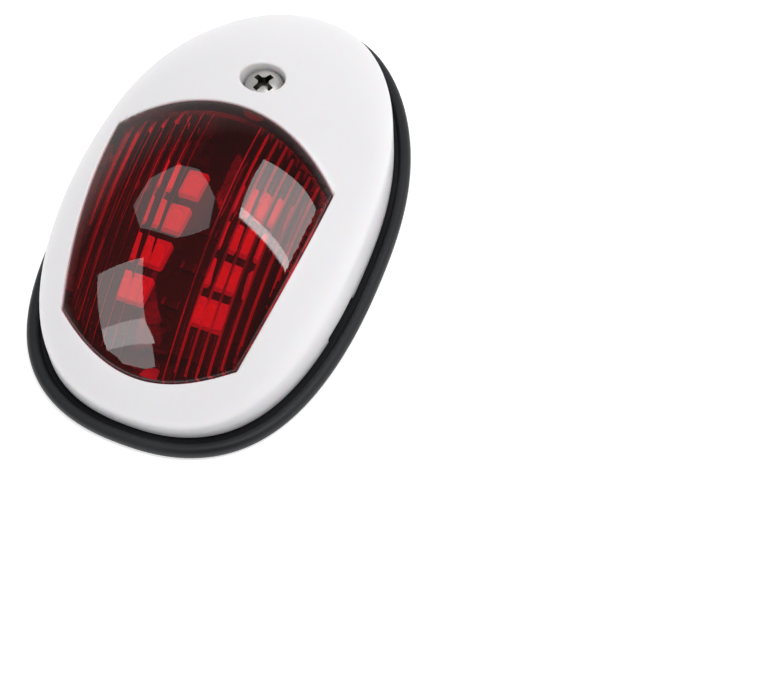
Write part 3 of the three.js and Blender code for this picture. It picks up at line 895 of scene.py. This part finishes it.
# ---- floor, lights and camera ---------------------------------------------------------
OCTAGON_WAY, STRIP_WAY, WINDOW_WAY = (-0.414, -0.041, 0.909), (-0.4, -0.58, 0.71), (0.316, 0.18, 0.932)
OCTAGON_SPIN, STRIP_SPIN, WINDOW_SPIN = 130.6, 14.0, -8.0
TUBE_DISTANCE = 0.88       # just in front of the panels
ROOM_LIGHT = 0.47          # on everything but reflections
HORIZON_LIGHT, WALL_LIGHT = 0.9, 0.13     # in reflections, low and high up
FLOOR_HALF, FLOOR_DROP = 3, 0.0003        # metres
scene = bpy.context.scene


def emitter(name, direction, half_width, half_height, strength, spin=0.0, sides=4, taper=1.0, shift=0.0,
            distance=0.9):
    """A flat glowing panel facing the part. It lights the part and shows in reflections, but is hidden from
    the camera and casts no shadow. Direction points from the part to the box;
    the half sizes are slopes about that direction, and spin turns the box about it from the part's +Y.
    Taper narrows its lower end, and shift slides it along its own height."""
    d = Vector(direction).normalized()
    y = (Vector((0, 1, 0)) - d.y * d).normalized()
    x = y.cross(d)
    if sides == 4:
        corners = [(-taper, -1), (taper, -1), (1, 1), (-1, 1)]
    else:
        step = 2 * math.pi / sides
        corners = [(math.cos(step * (i + 0.5)), math.sin(step * (i + 0.5))) for i in range(sides)]
    turn = Matrix.Rotation(math.radians(spin), 2)
    verts = []
    for cx, cy in corners:
        p = turn @ Vector((cx * half_width, cy * half_height + shift))
        verts.append((d + x * p.x + y * p.y) * distance)
    mesh = bpy.data.meshes.new(name)
    mesh.from_pydata([tuple(v) for v in verts], [], [tuple(range(len(verts)))])
    obj = bpy.data.objects.new(name, mesh)
    scene.collection.objects.link(obj)
    mat = bpy.data.materials.new(name + "_glow")
    mat.use_nodes = True
    tree = mat.node_tree
    tree.nodes.clear()
    glow = tree.nodes.new("ShaderNodeEmission")
    glow.inputs["Color"].default_value = (1, 1, 1, 1)
    glow.inputs["Strength"].default_value = strength
    out = tree.nodes.new("ShaderNodeOutputMaterial")
    tree.links.new(glow.outputs["Emission"], out.inputs["Surface"])
    mesh.materials.append(mat)
    obj.visible_camera = False
    obj.visible_shadow = False
    return obj


emitter("octagon_softbox", OCTAGON_WAY, 0.27, 0.215, 1.6, OCTAGON_SPIN, 8)
emitter("strip_softbox", STRIP_WAY, 0.125, 0.2, 2.9, STRIP_SPIN, taper=0.5)
emitter("strip_softbox_tube", STRIP_WAY, 0.085, 0.04, 5.5, STRIP_SPIN, shift=-0.08, distance=TUBE_DISTANCE)
emitter("window_softbox", WINDOW_WAY, 0.325, 0.245, 4.1, WINDOW_SPIN)
emitter("window_softbox_tube", WINDOW_WAY, 0.325, 0.035, 9.0, WINDOW_SPIN, shift=-0.2, distance=TUBE_DISTANCE)

world = bpy.data.worlds.new("studio")
world.use_nodes = True
world.node_tree.nodes["Background"].inputs["Color"].default_value = (1, 1, 1, 1)
# Even light on matt surfaces; in reflections a pale horizon behind the part and dark upper walls.
tree = world.node_tree
path = tree.nodes.new("ShaderNodeLightPath")
where = tree.nodes.new("ShaderNodeTexCoord")
axes = tree.nodes.new("ShaderNodeSeparateXYZ")
lean = tree.nodes.new("ShaderNodeMath")
lean.operation = "MULTIPLY_ADD"
lean.inputs[1].default_value = -0.3
walls = tree.nodes.new("ShaderNodeMapRange")
for key, value in (("From Min", 0.25), ("From Max", 0.65), ("To Min", HORIZON_LIGHT), ("To Max", WALL_LIGHT)):
    walls.inputs[key].default_value = value
pick = tree.nodes.new("ShaderNodeMapRange")
pick.inputs["To Min"].default_value = ROOM_LIGHT
for a, b in ((where.outputs["Generated"], axes.inputs[0]), (axes.outputs["Y"], lean.inputs[0]),
             (axes.outputs["Z"], lean.inputs[2]), (lean.outputs[0], walls.inputs["Value"]),
             (walls.outputs["Result"], pick.inputs["To Max"]), (path.outputs["Is Glossy Ray"], pick.inputs["Value"]),
             (pick.outputs["Result"], tree.nodes["Background"].inputs["Strength"])):
    tree.links.new(a, b)
scene.world = world

floor_mesh = bpy.data.meshes.new("studio_floor")
floor_mesh.from_pydata([(x * FLOOR_HALF, y * FLOOR_HALF, 0) for x, y in ((-1, -1), (1, -1), (1, 1), (-1, 1))],
                       [], [(0, 1, 2, 3)])
floor = bpy.data.objects.new("studio_floor", floor_mesh)
floor.location = (0, 0, -FLOOR_DROP)
scene.collection.objects.link(floor)
floor_mat = Nodes("pale_floor", IOR=1.3, Specular_IOR_Level=0.1, Emission_Strength=0.5)
floor_mat.bsdf.inputs["Emission Color"].default_value = (1, 1, 1, 1)
floor_mat.colour(floor_mat.mix(floor_mat.spread(floor_mat.noise(6.0), 0.0, 1.0), (0.88, 0.88, 0.88, 1),
                               (0.9, 0.9, 0.9, 1)))
floor_mat.bsdf.inputs["Roughness"].default_value = 0.7
floor_mat.on(floor)

# Camera: position on a sphere round the part, aimed beside it, turned a little about its own axis.
CAM_AZIMUTH, CAM_ELEVATION, CAM_ROLL = 0.5639, 1.0073, -0.1611
CAM_DISTANCE = 0.34065
CAM_AIM = (0.02111, -0.02411)      # right and up from the part, across the line of sight
FOCAL_PER_WIDTH = 2045.58 / 763    # focal length as a share of the picture's width

back = Vector((math.sin(CAM_AZIMUTH) * math.cos(CAM_ELEVATION), -math.cos(CAM_AZIMUTH) * math.cos(CAM_ELEVATION),
               math.sin(CAM_ELEVATION)))
right = Vector((math.cos(CAM_AZIMUTH), math.sin(CAM_AZIMUTH), 0))
up = back.cross(right)
place = CAM_DISTANCE * back
axis_z = (place - CAM_AIM[0] * right - CAM_AIM[1] * up).normalized()
axis_x = up.cross(axis_z).normalized()
axis_y = axis_z.cross(axis_x)
c, s = math.cos(CAM_ROLL), math.sin(CAM_ROLL)
axis_x, axis_y = c * axis_x + s * axis_y, -s * axis_x + c * axis_y
cam_data = bpy.data.cameras.new("camera")
cam_data.sensor_width = 36.0
cam_data.lens = 36.0 * FOCAL_PER_WIDTH
cam_data.clip_start, cam_data.clip_end = 0.01, 20
camera = bpy.data.objects.new("camera", cam_data)
camera.matrix_world = Matrix((
    (axis_x.x, axis_y.x, axis_z.x, place.x),
    (axis_x.y, axis_y.y, axis_z.y, place.y),
    (axis_x.z, axis_y.z, axis_z.z, place.z),
    (0, 0, 0, 1)))
scene.collection.objects.link(camera)
scene.camera = camera

scene.view_settings.view_transform = "Standard"
scene.view_settings.look = "None"
